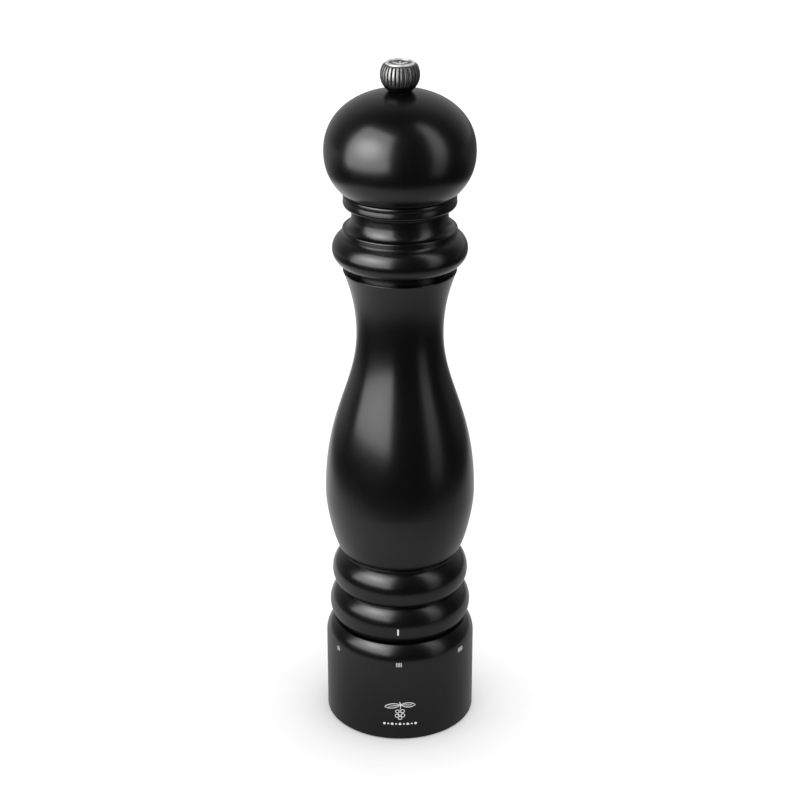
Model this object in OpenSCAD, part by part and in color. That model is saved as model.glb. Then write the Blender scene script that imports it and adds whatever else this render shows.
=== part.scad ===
// Classic turned pepper mill with a head-turned burr mechanism and a six-step grind selector ring.
// Units are millimetres. +Z is up, the origin is the centre of the face that the mill stands on,
// and the selector's index mark faces -Y. Everything is at rest: head seated, knob tight,
// selector on step four.

/* [Selector base] */
// Radius of the selector ring and of the foot that the mill stands on
base_r = 33.1; // [32.8:0.1:34]
// Height of the selector ring
base_h = 46.2; // [46:0.05:46.3]
// Radius of the selector ring's rounded shoulder
shoulder_r = 11; // [9:0.5:12]
// Height at which the selector ring's straight side turns into its shoulder
shoulder_mid_z = 37.9; // [37:0.1:38.5]
// Radius of the bore that holds the adjuster ring
base_bore_r = 27; // [26.5:0.1:27.5]

/* [Body] */
// Height of the body's lower end, just above the selector ring
body_z0 = 46.6; // [46.5:0.05:46.7]
// Radius at the crest of the lower bead
bead_low_r = 31.2; // [30:0.1:32]
// Height of the lower bead's crest
bead_low_z = 54.3; // [54:0.1:55]
// Radius at the crest of the upper bead
bead_high_r = 30; // [29:0.1:31]
// Height of the upper bead's crest
bead_high_z = 70.4; // [70:0.1:71.4]
// Radius of both beads' round section
bead_arc_r = 10.85; // [10.5:0.05:11]
// Radius at the widest point of the belly
belly_r = 32.65; // [31:0.05:33]
// Height of the widest point of the belly
belly_z = 109; // [107:0.1:111]
// Radius at the waist
waist_r = 18.6; // [18:0.05:20]
// Height of the waist
waist_z = 183.4; // [182:0.1:185]
// Radius of the hollow curve from the waist up to the neck
flare_arc_r = 75; // [70:0.5:80]
// Height of the neck's upper edge, under the large ring
neck_z = 211.7; // [211:0.1:212]
// Radius at the crest of the large ring
ring_r = 28.5; // [27.5:0.1:29]
// Height of the large ring's crest
ring_z = 221.1; // [220.8:0.1:221.6]
// Radius of the large ring's round section
ring_arc_r = 6.9; // [6.7:0.1:7]
// Radius of the fillet band above the large ring
band_r = 24.1; // [24:0.1:24.6]
// Height of the fillet band's upper edge
band_top = 230.5; // [230:0.1:231]
// Smallest radius of the cove
cove_r = 20.3; // [19.6:0.05:20.6]
// Height of the cove's smallest radius
cove_z = 237.2; // [236:0.1:238]
// Radius of the collar that the head sits on
collar_r = 23.8; // [23.4:0.05:24.1]
// Height of the collar's upper face
collar_z = 245.4; // [245:0.05:245.8]
// Radius of the collar's rounded lower edge
collar_arc_r = 1.9; // [1.5:0.1:2.4]
// Radius of the peppercorn chamber
chamber_r = 14; // [13:0.1:14.2]

/* [Head] */
// Widest radius of the head
head_r = 31.5; // [30.5:0.1:32.5]
// Height of the head's widest point
head_z = 262.9; // [262.6:0.1:263.4]
// Height from the head's widest point to its crown
head_half_h = 25.2; // [25:0.05:25.4]
// Roundness of the head: 2 is an ellipse, and more is squarer
head_power = 2.15; // [2:0.05:2.3]
// Radius of the tenon that plugs into the body
tenon_r = 15.3; // [14.8:0.05:15.35]
// Length of the tenon
tenon_h = 19.2; // [16:0.1:19.3]

/* [Knob] */
// Widest radius of the knob
knob_r = 8.2; // [8.15:0.05:8.4]
// Radius of the knob's round section
knob_arc_r = 8.05; // [7.8:0.05:8.1]
// Number of ribs round the knob
knob_ribs = 28; // [20:2:32]
// Depth of the grooves between the ribs
rib_depth = 0.35; // [0.2:0.05:0.4]

/* [Mechanism] */
// Width across the flats of the square drive shaft
shaft_w = 6; // [5.6:0.1:6]
// Radius of the threaded stud on top of the shaft
stud_r = 2.5; // [2.3:0.05:2.5]
// Radius of the rotor at its lower edge
rotor_r = 11.4; // [11:0.1:11.5]
// Number of teeth round the rotor and round the stator
fine_teeth = 24; // [18:2:30]
// Number of coarse flutes that crack the peppercorns
coarse_flutes = 6; // [4:1:8]
// Steps that the selector clicks into
grind_steps = 6; // [4:1:6]
// Angle between two steps of the selector
step_angle = 55; // [45:1:60]

/* [Hidden] */
$fn = 64;

snug = 0.05;        // gap between pieces of one assembly that are pressed together
run_gap = 0.3;      // gap between pieces that move past each other
through = 1;        // extra length of a cutter past the face that it opens

// Body interior
recess_r = 24.3;
recess_top = 49.8;
belly_start = [25, 80.1];   // where the belly's outline leaves the upper bead
band_edge_r = 0.35;   // round on the fillet band's upper edge
socket_r = tenon_r + run_gap;
socket_floor = 225.5;
pilot_h = 12;

// Mechanism housing and what hangs from it
housing_bore_r = 15;
flange_r = recess_r - run_gap;
shoulder_out_r = 22.8;
shoulder_z = 36.3;
sleeve_r = 20.2;
sleeve_z = 32.05;
prong_in_r = 16;
prong_out_r = 18.2;
prong_w = 7;
prong_z = 15;
prong_angles = [0, 120, 240];
screw_angles = [30, 150, 270];
clamp_angles = [60, 180, 300];
housing_screw_at = 19;
clamp_screw_at = 17.1;
detent_at = 21.5;
detent_angle = 90;
rest_step = 4;      // step that the selector stands on at rest
detent_r = 1;
detent_pocket_r = 1.15;
detent_pocket_top = 44;
screw_pocket_top = 44;

// Adjuster ring in the selector base
lip_z = 36;
lip_bore_r = 23.2;
adjuster_r = base_bore_r - snug;
adjuster_z = 3;
adjuster_top = 35.9;
thread_r = 21.8;
flange_under_z = 32.4;
flange_bore_r = 20.6;

// Stator and its carrier
carrier_r = thread_r - run_gap;
carrier_z = 12.5;
carrier_top = 28.3;
seat_r = 14.5;
stator_z = 13.95;
stator_top = 24;
stator_low_r = 12;
stator_high_r = 9.2;
slot_play = 0.3;

// Retaining ring under the housing's sleeve
clamp_z = 29.5;

// Rotor, shaft and fastenings
rotor_z = 14.3;
rotor_mid_z = 24;
rotor_mid_r = 8.6;
rotor_neck_z = 33;
hub_r = 5.6;
hub_top = 47.2;
thrust_z = 37.4;
thrust_r = 7;
guide_z = 38.5;
guide_top = 44.5;
guide_hub_r = 8;
clip_z = 44.7;
clip_h = 0.7;
clip_groove_r = 5.05;
shaft_z = 14.4;
shaft_top = 283;
stud_top = 297;

// Head
head_bottom = collar_z + 0.4;
foot_r = 24;
flank_z = head_bottom + 1.1;
head_bore_r = 4.7;
head_eye_r = 2.9;
plate_r = 12.6;
plate_h = 1.55;
plate_screw_at = 9;
tenon_z = head_bottom - tenon_h;

// Knob
knob_z = 294.7;
knob_bottom = 288.2;
rib_z = 290.9;       // height at which the knob's ribs start
knob_top = 299.2;
bezel_r = 6.05;
bezel_z = 298;
total_h = 300;
insert_r = 4;
washer_z = 288.15;
washer_top = 288.65;

// Points along an arc of a circle, as [radius, height] pairs for an outline
function arc(r, z, radius, from, to, steps) =
    [for (i = [0:steps]) let (a = from + (to - from) * i / steps)
        [r + radius * cos(a), z + radius * sin(a)]];

// Points along a cubic curve from p0 to p3
function curve(p0, p1, p2, p3, steps) =
    [for (i = [0:steps]) let (t = i / steps, u = 1 - t)
        u * u * u * p0 + 3 * t * u * u * p1 + 3 * t * t * u * p2 + t * t * t * p3];

// A curve without its first point, to follow on from the outline before it
function tail(points) = [for (i = [1:len(points) - 1]) points[i]];

// Radius of the head at a height above its widest point
function head_radius(dz) = head_r * pow(1 - pow(abs(dz) / head_half_h, head_power), 1 / head_power);

module tube(outer, inner, z0, z1) {
    translate([0, 0, z0])
        difference() {
            cylinder(r = outer, h = z1 - z0);
            translate([0, 0, -through])
                cylinder(r = inner, h = z1 - z0 + 2 * through);
        }
}

module rod(r, z0, z1) {
    translate([0, 0, z0])
        cylinder(r = r, h = z1 - z0);
}

module square_bar(w, z0, z1) {
    translate([-w / 2, -w / 2, z0])
        cube([w, w, z1 - z0]);
}

module around(angles, radius) {
    for (a = angles)
        rotate([0, 0, a])
            translate([radius, 0, 0])
                children();
}

// Pan-head screw pointing up, with a cross slot in its head
module screw(shank_r, head_radius, head_h, z_head, length) {
    difference() {
        union() {
            rod(head_radius, z_head, z_head + head_h);
            rod(shank_r, z_head + head_h / 2, z_head + head_h + length);
        }
        for (a = [0, 90])
            rotate([0, 0, a])
                translate([-head_radius * 0.6, -head_radius * 0.13, z_head - through])
                    cube([head_radius * 1.2, head_radius * 0.26, through + head_h * 0.5]);
    }
}

// Closed coil of round wire, standing on z0
module coil_spring(coil_r, wire_r, z0, z1, turns) {
    sides = 6;
    per_turn = 12;
    n = turns * per_turn;
    rise = z1 - z0 - 2 * wire_r;
    ring_points = [for (i = [0:n], k = [0:sides - 1])
        let (a = 360 * i / per_turn, b = 360 * k / sides, r = coil_r + wire_r * cos(b))
        [r * cos(a), r * sin(a), z0 + wire_r + rise * i / n + wire_r * sin(b)]];
    walls = [for (i = [0:n - 1], k = [0:sides - 1], half = [0, 1])
        let (a = i * sides + k, b = i * sides + (k + 1) % sides)
        half == 0 ? [a, b, b + sides] : [a, b + sides, a + sides]];
    low_cap = [for (k = [1:sides - 2]) [0, k + 1, k]];
    high_cap = [for (k = [1:sides - 2]) [n * sides, n * sides + k, n * sides + k + 1]];
    polyhedron(points = ring_points, faces = concat(walls, low_cap, high_cap), convexity = 10);
}

// Outline of the body's outside, from its lower end to the collar's upper face
function body_outline() =
    let (bead_gap = [bead_high_r - bead_low_r, bead_high_z - bead_low_z],
        bead_line = atan2(bead_gap[1], bead_gap[0]),
        bead_reach = acos(norm(bead_gap) / 2 / bead_arc_r),
        collar_in = collar_r - collar_arc_r,
        collar_low = cove_z + 2.2)
    concat(
        arc(bead_low_r - bead_arc_r, bead_low_z, bead_arc_r, -49, bead_line - bead_reach, 12),
        tail(arc(bead_high_r - bead_arc_r, bead_high_z, bead_arc_r, bead_line + bead_reach - 180, 57, 12)),
        curve(belly_start, belly_start + [3.2, 1.3], [belly_r, belly_z - 9], [belly_r, belly_z], 10),
        tail(curve([belly_r, belly_z], [belly_r, belly_z + 38.2],
            [waist_r, waist_z - 25.2], [waist_r, waist_z], 14)),
        tail(arc(waist_r + flare_arc_r, waist_z, flare_arc_r, 180, 157, 6)),
        arc(ring_r - ring_arc_r, ring_z, ring_arc_r, -90, 62, 12),
        arc(band_r - band_edge_r, band_top - band_edge_r, band_edge_r, 0, 90, 3),
        curve([22.7, band_top + 0.1], [cove_r + 0.8, band_top + 0.9],
            [cove_r, cove_z - 1.8], [cove_r, cove_z], 6),
        tail(curve([cove_r, cove_z], [cove_r, cove_z + 2.2],
            [collar_in - 0.9, collar_low], [collar_in, collar_low], 5)),
        tail(arc(collar_in, collar_low + collar_arc_r, collar_arc_r, -90, 0, 5)),
        arc(collar_r - 0.4, collar_z - 0.4, 0.4, 0, 90, 3));

module body() {
    neck_groove_r = 21.4;
    color("#1b1b1c")
        difference() {
            rotate_extrude()
                intersection() {
                    polygon(concat([[0, body_z0 - 8], [bead_low_r - bead_arc_r, body_z0 - 8]],
                        body_outline(), [[0, collar_z]]));
                    translate([0, body_z0])
                        square([40, collar_z - body_z0]);
                }
            // groove between the neck and the large ring
            tube(40, neck_groove_r, neck_z, ring_z - ring_arc_r + 0.1);
            rod(recess_r, body_z0 - through, recess_top);
            rod(chamber_r, body_z0, collar_z + through);
            // funnel from the chamber into the mechanism
            translate([0, 0, recess_top - 0.01])
                cylinder(r1 = housing_bore_r, r2 = chamber_r, h = 3);
            rod(socket_r, socket_floor, collar_z + through);
            around(screw_angles, housing_screw_at)
                rod(1.3, recess_top - through, recess_top + pilot_h);
        }
}

module mechanism_housing() {
    color("#2a2a2d")
        difference() {
            union() {
                rod(flange_r, body_z0 + snug, recess_top - snug);
                rod(shoulder_out_r, shoulder_z, body_z0 + 1);
                rod(sleeve_r, sleeve_z, shoulder_z + 1);
                around(prong_angles, 0)
                    intersection() {
                        rod(prong_out_r, prong_z, sleeve_z + 2);
                        translate([0, -prong_w / 2, prong_z])
                            cube([prong_out_r + 1, prong_w, sleeve_z + 2 - prong_z]);
                    }
            }
            rod(housing_bore_r, sleeve_z - through, recess_top + through);
            rod(prong_in_r, prong_z - through, sleeve_z - 0.01);
            around(screw_angles, housing_screw_at) {
                rod(1.35, shoulder_z - through, recess_top + through);
                rod(2.5, sleeve_z - through, screw_pocket_top);
            }
            around(clamp_angles, clamp_screw_at)
                rod(1, sleeve_z - through, sleeve_z + 6);
            around([detent_angle], detent_at)
                rod(detent_pocket_r, shoulder_z - through, detent_pocket_top);
        }
}

module housing_screws() {
    head_h = 1.6;
    color("#b8babd")
        around(screw_angles, housing_screw_at)
            screw(1.25, 2.35, head_h, screw_pocket_top - head_h - snug, 16);
}

module shaft_guide() {
    spokes = 3;
    spoke_w = 2.4;
    rim_in_r = 13.5;
    color("#3a3a3e")
        difference() {
            rod(housing_bore_r - snug, guide_z, guide_top);
            rod(hub_r + 0.06, guide_z - through, guide_top + through);
            // windows between the spokes, which the peppercorns fall through
            difference() {
                tube(rim_in_r, guide_hub_r, guide_z - through, guide_top + through);
                for (i = [0:spokes - 1])
                    rotate([0, 0, 90 + 360 * i / spokes])
                        translate([0, -spoke_w / 2, guide_z - 2 * through])
                            cube([rim_in_r + 2, spoke_w, guide_top - guide_z + 4 * through]);
            }
        }
}

module retaining_ring() {
    top = sleeve_z - snug;
    slot_w = prong_w + 2 * slot_play;
    color("#3a3a3e")
        difference() {
            tube(carrier_r - 0.1, 15.3, clamp_z, top);
            for (a = prong_angles)
                rotate([0, 0, a])
                    translate([10, -slot_w / 2, clamp_z - through])
                        cube([prong_out_r + slot_play - 10, slot_w, top - clamp_z + 2 * through]);
            around(clamp_angles, clamp_screw_at) {
                rod(1.05, clamp_z - through, top + through);
                rod(1.7, clamp_z - through, clamp_z + 1.2);
            }
        }
}

module retaining_ring_screws() {
    color("#b8babd")
        around(clamp_angles, clamp_screw_at)
            screw(0.95, 1.65, 1.1, clamp_z + snug, 6.5);
}

module detent_ball() {
    color("#d0d2d5")
        around([detent_angle], detent_at)
            translate([0, 0, adjuster_top + run_gap + detent_r])
                sphere(r = detent_r);
}

module detent_spring() {
    color("#c4c6c9")
        around([detent_angle], detent_at)
            coil_spring(0.7, 0.2, adjuster_top + run_gap + 2 * detent_r + snug, detent_pocket_top - snug, 6);
}

// Flat wire washer with three waves, pressing the stator carrier down
module wave_spring() {
    inner = 19.2;
    outer = 20.9;
    low = carrier_top + snug;
    high = clamp_z - snug;
    thick = 0.35;
    n = 72;
    waves = 3;
    swing = (high - low - thick) / 2;
    mid = (high + low) / 2;
    points = [for (i = [0:n - 1])
        let (a = 360 * i / n, z = mid + swing * cos(waves * a))
        for (c = [[inner, -1], [outer, -1], [outer, 1], [inner, 1]])
        [c[0] * cos(a), c[0] * sin(a), z + c[1] * thick / 2]];
    faces = [for (i = [0:n - 1], k = [0:3], half = [0, 1])
        let (j = (i + 1) % n, m = (k + 1) % 4)
        half == 0 ? [4 * i + k, 4 * j + k, 4 * j + m] : [4 * i + k, 4 * j + m, 4 * i + m]];
    color("#c4c6c9")
        polyhedron(points = points, faces = faces, convexity = 6);
}

module base_ring() {
    foot_edge = 0.5;
    color("#1b1b1c")
        difference() {
            rotate_extrude()
                intersection() {
                    polygon(concat([[0, 0], [base_r - foot_edge, 0], [base_r, foot_edge]],
                        arc(base_r - shoulder_r, shoulder_mid_z, shoulder_r, 0, 60, 8), [[0, base_h + 2]]));
                    square([40, base_h]);
                }
            rod(base_bore_r, -through, lip_z);
            rod(lip_bore_r, lip_z - through, base_h + through);
        }
}

module adjuster_ring() {
    dimple_r = 1.3;
    color("#d8d2c4")
        difference() {
            rod(adjuster_r, adjuster_z, adjuster_top);
            rod(thread_r, adjuster_z - through, flange_under_z);
            rod(flange_bore_r, flange_under_z - through, adjuster_top + through);
            // flared mouth for the ground pepper
            translate([0, 0, adjuster_z - 0.01])
                cylinder(r1 = thread_r + 2.5, r2 = thread_r - 0.01, h = 5);
            around([for (i = [1:grind_steps]) detent_angle + (i - rest_step) * step_angle], detent_at)
                translate([0, 0, adjuster_top + 0.6])
                    sphere(r = dimple_r);
        }
}

module stator_carrier() {
    lip_r = 12.9;
    slot_floor = 14;
    slot_w = prong_w + 2 * slot_play;
    slot_top = carrier_top + through;
    color("#2a2a2d")
        difference() {
            rod(carrier_r, carrier_z, carrier_top);
            rod(lip_r, carrier_z - through, carrier_top + through);
            rod(seat_r, stator_z - snug, carrier_top + through);
            for (a = prong_angles)
                rotate([0, 0, a])
                    intersection() {
                        tube(prong_out_r + slot_play, prong_in_r - slot_play, slot_floor, slot_top);
                        translate([0, -slot_w / 2, slot_floor - through])
                            cube([carrier_r, slot_w, slot_top - slot_floor + 2 * through]);
                    }
        }
}

// Row of V-shaped cutters standing round a cone, each leaning with the cone's side
module tooth_cutters(count, r0, z0, r1, z1, half_w) {
    lean = atan2(r1 - r0, z1 - z0);
    for (i = [0:count - 1])
        rotate([0, 0, 360 * i / count])
            translate([r0, 0, z0])
                rotate([0, lean, 0])
                    translate([0, 0, -2])
                        rotate([0, 0, 45])
                            translate([-half_w, -half_w, 0])
                                cube([2 * half_w, 2 * half_w, norm([r1 - r0, z1 - z0]) + 4]);
}

module stator() {
    rise = stator_top - stator_z;
    color("#8d9094")
        difference() {
            rod(seat_r - snug, stator_z, stator_top);
            translate([0, 0, stator_z])
                rotate_extrude()
                    polygon([[0, -1], [stator_low_r + 0.1, -1], [stator_low_r, 0],
                        [stator_high_r, rise], [11.5, rise + 1], [0, rise + 1]]);
            tooth_cutters(fine_teeth, stator_low_r, stator_z, stator_high_r, stator_top, 0.45);
        }
}

module drive_shaft() {
    color("#c9ccd0")
        difference() {
            union() {
                square_bar(shaft_w, shaft_z, shaft_top);
                rod(stud_r, shaft_top - through, stud_top - 0.5);
                translate([0, 0, stud_top - 0.5])
                    cylinder(r1 = stud_r, r2 = stud_r - 0.5, h = 0.5);
            }
            rod(1.3, shaft_z - through, shaft_z + 13);
        }
}

module rotor() {
    flute_r = 2.1;
    color("#8d9094")
        difference() {
            rotate_extrude()
                polygon([[0, rotor_z], [rotor_r, rotor_z], [rotor_mid_r, rotor_mid_z], [6.4, rotor_neck_z],
                    [thrust_r - 0.8, 35.8], [thrust_r, 36.4], [thrust_r, thrust_z], [hub_r, thrust_z],
                    [hub_r, clip_z - snug], [clip_groove_r, clip_z - snug],
                    [clip_groove_r, clip_z + clip_h + snug], [hub_r, clip_z + clip_h + snug],
                    [hub_r, hub_top], [0, hub_top]]);
            square_bar(shaft_w + 2 * snug, rotor_z - through, hub_top + through);
            tooth_cutters(fine_teeth, rotor_r, rotor_z, rotor_mid_r, rotor_mid_z, 0.45);
            for (i = [0:coarse_flutes - 1])
                rotate([0, 0, 360 * i / coarse_flutes])
                    translate([rotor_mid_r + 0.6, 0, rotor_mid_z - 3])
                        rotate([-28, -12, 0])
                            cylinder(r = flute_r, h = 11);
        }
}

module rotor_washer() {
    color("#b8babd")
        tube(5.5, 1.5, rotor_z - 0.9, rotor_z - snug);
}

module rotor_screw() {
    color("#b8babd")
        screw(1.25, 2.9, 2.1, rotor_z - 0.95 - 2.1, 12);
}

module thrust_washer() {
    color("#e6e3da")
        tube(7.6, hub_r + snug, thrust_z + snug, guide_z - snug);
}

module retaining_clip() {
    color("#b8babd")
        difference() {
            tube(7.3, clip_groove_r + snug, clip_z, clip_z + clip_h);
            translate([0, -2.2, clip_z - through])
                cube([10, 4.4, clip_h + 2 * through]);
        }
}

module head_ball() {
    steps = 22;
    // even steps in angle, so that the crown and the sides are equally smooth
    a_low = asin((flank_z - head_z) / head_half_h);
    side = [for (i = [0:steps - 1]) let (dz = head_half_h * sin(a_low + (90 - a_low) * i / steps))
        [head_radius(dz), head_z + dz]];
    color("#1b1b1c")
        difference() {
            rotate_extrude()
                polygon(concat([[0, tenon_z], [tenon_r - 0.8, tenon_z], [tenon_r, tenon_z + 0.8],
                    [tenon_r, head_bottom], [foot_r - 0.3, head_bottom], [foot_r, head_bottom + 0.3],
                    [foot_r + 0.2, head_bottom + 0.7]], side, [[0, head_z + head_half_h]]));
            rod(plate_r + 0.1, tenon_z - through, tenon_z + plate_h + snug);
            rod(head_bore_r, tenon_z, shaft_top + 1);
            rod(head_eye_r, shaft_top, head_z + head_half_h + through);
            around([0, 120, 240], plate_screw_at)
                rod(0.95, tenon_z, tenon_z + plate_h + 9);
        }
}

module driver_plate() {
    fit = 0.1;
    color("#c9ccd0")
        difference() {
            rod(plate_r, tenon_z, tenon_z + plate_h);
            square_bar(shaft_w + 2 * fit, tenon_z - through, tenon_z + plate_h + through);
            around([0, 120, 240], plate_screw_at)
                rod(1.05, tenon_z - through, tenon_z + plate_h + through);
        }
}

module driver_screws() {
    color("#b8babd")
        around([0, 120, 240], plate_screw_at)
            screw(0.9, 1.9, 0.9, tenon_z - 0.9 - snug, 9);
}

module knob_washer() {
    color("#e6e3da")
        tube(4.2, 2.8, washer_z, washer_top);
}

// Outline of the knob's round outside, with its surface moved in by inset
function knob_outline(inset) = concat([[0, knob_bottom]],
    arc(knob_r - knob_arc_r - inset, knob_z, knob_arc_r, asin((knob_bottom - knob_z) / knob_arc_r), 30, 7),
    arc(bezel_r + 0.1 - inset, knob_top - 0.9, 0.9, 45, 90, 2),
    [[0, knob_top]]);

module knob_shell() {
    rib_w = 0.95;
    color("#4a4a4b")
        difference() {
            union() {
                rotate_extrude()
                    polygon(knob_outline(rib_depth));
                // smooth foot below the ribs
                rotate_extrude()
                    intersection() {
                        polygon(knob_outline(0));
                        square([10, rib_z]);
                    }
                intersection() {
                    rotate_extrude()
                        polygon(knob_outline(0));
                    for (i = [0:knob_ribs / 2 - 1])
                        rotate([0, 0, 360 * i / knob_ribs])
                            translate([-10, -rib_w / 2, rib_z - 0.5])
                                cube([20, rib_w, 10]);
                }
            }
            rod(4.35, knob_bottom - through, washer_top + 0.05);
            rod(insert_r + snug, knob_bottom, knob_top + through);
            rod(bezel_r, bezel_z, knob_top + through);
        }
}

module knob_insert() {
    color("#b9a46a")
        tube(insert_r, stud_r + 0.06, washer_top + 0.1, bezel_z - 0.1);
}

module knob_disc() {
    color("#1c2233")
        rod(4.85, bezel_z + snug, bezel_z + 1.4);
}

module knob_bezel() {
    color("#d9dbde")
        rotate_extrude()
            polygon([[4.9, bezel_z + snug], [bezel_r - snug, bezel_z + snug], [bezel_r - snug, 299.4],
                [5.6, total_h - 0.1], [5.4, total_h], [5.2, total_h - 0.1], [4.9, 299.6]]);
}

body();
mechanism_housing();
housing_screws();
shaft_guide();
retaining_ring();
retaining_ring_screws();
detent_ball();
detent_spring();
wave_spring();
base_ring();
adjuster_ring();
stator_carrier();
stator();
drive_shaft();
rotor();
rotor_washer();
rotor_screw();
thrust_washer();
retaining_clip();
head_ball();
driver_plate();
driver_screws();
knob_washer();
knob_shell();
knob_insert();
knob_disc();
knob_bezel();
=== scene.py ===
"""Looks of a tall turned pepper mill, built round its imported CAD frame.

Outlines are half sections in millimetres, as (radius, height) points. They keep within 0.2 mm of the CAD's
surfaces, except for up to 0.6 mm round the band, in the cove over it and at the bore in the head's crown.
Everything is built in metres, in the frame of the CAD: +Z up, the index mark towards -Y.
"""

import math

import bmesh
import bpy
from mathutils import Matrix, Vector


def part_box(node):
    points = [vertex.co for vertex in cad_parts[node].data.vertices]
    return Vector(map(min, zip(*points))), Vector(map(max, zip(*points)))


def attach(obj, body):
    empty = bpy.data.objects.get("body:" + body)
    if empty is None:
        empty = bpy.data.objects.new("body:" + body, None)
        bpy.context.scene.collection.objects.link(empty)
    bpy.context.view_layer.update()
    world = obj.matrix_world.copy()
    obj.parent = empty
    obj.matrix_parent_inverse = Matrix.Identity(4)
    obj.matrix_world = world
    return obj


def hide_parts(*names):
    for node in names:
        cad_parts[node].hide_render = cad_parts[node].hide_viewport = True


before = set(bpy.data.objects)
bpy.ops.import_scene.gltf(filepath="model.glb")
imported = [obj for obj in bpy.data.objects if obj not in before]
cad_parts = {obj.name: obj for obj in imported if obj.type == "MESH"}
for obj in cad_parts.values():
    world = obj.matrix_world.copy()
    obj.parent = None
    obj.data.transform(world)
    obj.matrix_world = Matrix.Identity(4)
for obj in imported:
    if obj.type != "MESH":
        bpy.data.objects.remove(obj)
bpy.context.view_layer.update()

MM = 0.001
SEGMENTS = 192

# ---------------------------------------------------------------- driving sizes, millimetres
BASE_R, BASE_H = 33.08, 46.2
SHOULDER_R = 11.0
SHOULDER_Z = 37.9
BODY_Z0 = 46.6
BEAD_LOW = (31.21, 54.31)
BEAD_HIGH = (30.0, 70.41)
BEAD_ARC_R = 10.85
BEAD_END = 57
BELLY_START = (25.0, 80.1)
BELLY = (32.61, 109.0)
WAIST = (18.6, 183.37)
FOOT_PULL = (3.2, 1.3)
BELLY_PULL_LOW, BELLY_PULL_HIGH, WAIST_PULL = 9, 38.2, 25.2
FLARE_ARC_R = 75.07
NECK_Z = 211.7
NECK_GROOVE_R = 21.4
RING = (28.47, 221.05)
RING_ARC_R = 6.87
RING_START, RING_END = -88, 62
BAND_R, BAND_TOP = 24.07, 230.37
BAND_TOP_R, BAND_EDGE, BAND_FOOT_EDGE = 23.3, 0.55, 0.15
LEDGE_R, LEDGE_Z = 21.65, BAND_TOP + 0.08
COVE_R, COVE_LOW, COVE_HIGH = 20.3, 235.6, 237.2
COLLAR_R, COLLAR_Z = 23.8, 245.4
COLLAR_ARC_R, COLLAR_LOW = 1.94, 239.4
COLLAR_WAIST_Z, COLLAR_WAIST_DEPTH, COLLAR_EDGE = COLLAR_LOW + 3.9, 0.16, 0.9
CHAMBER_R, CHAMBER_FOOT_R = 14.0, 15
SOCKET_R, SOCKET_Z = 15.6, 225.5
RECESS_R, RECESS_Z = 24.3, 49.8
HEAD_R, HEAD_Z, HEAD_HALF_H, HEAD_POWER = 31.5, 262.9, 25.2, 2.15
HEAD_BOTTOM, HEAD_SIDE_LOW, HEAD_FLAT_R = 245.8, 1.1, 24
HEAD_TOP_ANGLE = 86.5
SHAFT_TOP = 283.0
TENON_R, TENON_Z = 15.3, 226.6
STUD_BORE_R, SHAFT_BORE_R = 2.9, 4.7
DRIVER_SEAT_R, DRIVER_SEAT_DEPTH = 12.7, 1.6
KNOB_R, KNOB_ARC_R, KNOB_Z = 8.17, 8.05, 294.7
KNOB_BOTTOM, KNOB_TOP = 288.2, 299.2
WASHER_TOP = 288.65
KNOB_RIBS = 28
RIB_Z, RIB_TOP_Z = 290.6, 299.1
RIB_INNER_R = 6.3
RIB_FADE_LOW, RIB_FADE_HIGH = 1.6, 0.25
KNOB_EDGE_R, KNOB_EDGE = 6.15, 0.95
KNOB_SEAT_R, KNOB_SEAT_Z = 6.05, 298
INSERT_BORE_R, WASHER_BORE_R = 4.05, 4.35
GROOVE_SHARE = 0.52
RIB_DEPTH = 0.42
BEZEL_IN_R, BEZEL_OUT_R, BEZEL_TOP_Z, BEZEL_ROUND = 4.9, 6.0, 299.4, 0.55
INLAY_Z = KNOB_SEAT_Z + 0.05
DISC_R, DISC_RIM_R, DISC_DISH_R = 4.85, 4.7, 4.2
DISC_TOP, DISC_FLOOR = 299.4, 299.32
SHAFT_W, SHAFT_EDGE = 6.0, 0.35
STUD_R, STUD_ROOT_R, STUD_PITCH = 2.5, 2.05, 0.8


# ---------------------------------------------------------------- outlines
def arc(r, z, radius, start, end, steps):
    """Points along an arc of a circle, angles in degrees."""
    angles = [math.radians(start + (end - start) * i / steps) for i in range(steps + 1)]
    return [(r + radius * math.cos(a), z + radius * math.sin(a)) for a in angles]


def curve(p0, p1, p2, p3, steps):
    """Points along a cubic curve from p0 to p3."""
    points = []
    for i in range(steps + 1):
        t = i / steps
        u = 1 - t
        weights = (u**3, 3 * t * u * u, 3 * t * t * u, t**3)
        points.append(tuple(sum(w * p[k] for w, p in zip(weights, (p0, p1, p2, p3))) for k in (0, 1)))
    return points


def fillet(before, corner, after, radius, steps=5):
    """Points of a round that replaces a corner between two straight runs."""
    c = Vector(corner)
    a = (Vector(before) - c).normalized()
    b = (Vector(after) - c).normalized()
    half = a.angle(b) / 2
    reach = radius / math.tan(half)
    centre = c + (a + b).normalized() * radius / math.sin(half)
    start = c + a * reach - centre
    end = c + b * reach - centre
    sweep = start.angle(end)
    points = []
    for i in range(steps + 1):
        t = i / steps
        p = (start * math.sin((1 - t) * sweep) + end * math.sin(t * sweep)) / math.sin(sweep)
        points.append(tuple(centre + p))
    return points


# ---------------------------------------------------------------- mesh building
def new_object(name, bm, body, materials, sharp=30):
    """Turns a bmesh into an object that rides on a CAD body."""
    bmesh.ops.recalc_face_normals(bm, faces=bm.faces)
    mesh = bpy.data.meshes.new(name)
    bm.to_mesh(mesh)
    bm.free()
    for m in materials:
        mesh.materials.append(m)
    for polygon in mesh.polygons:
        polygon.use_smooth = True
    mesh.set_sharp_from_angle(angle=math.radians(sharp))
    obj = bpy.data.objects.new(name, mesh)
    bpy.context.scene.collection.objects.link(obj)
    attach(obj, body)
    return obj


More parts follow.
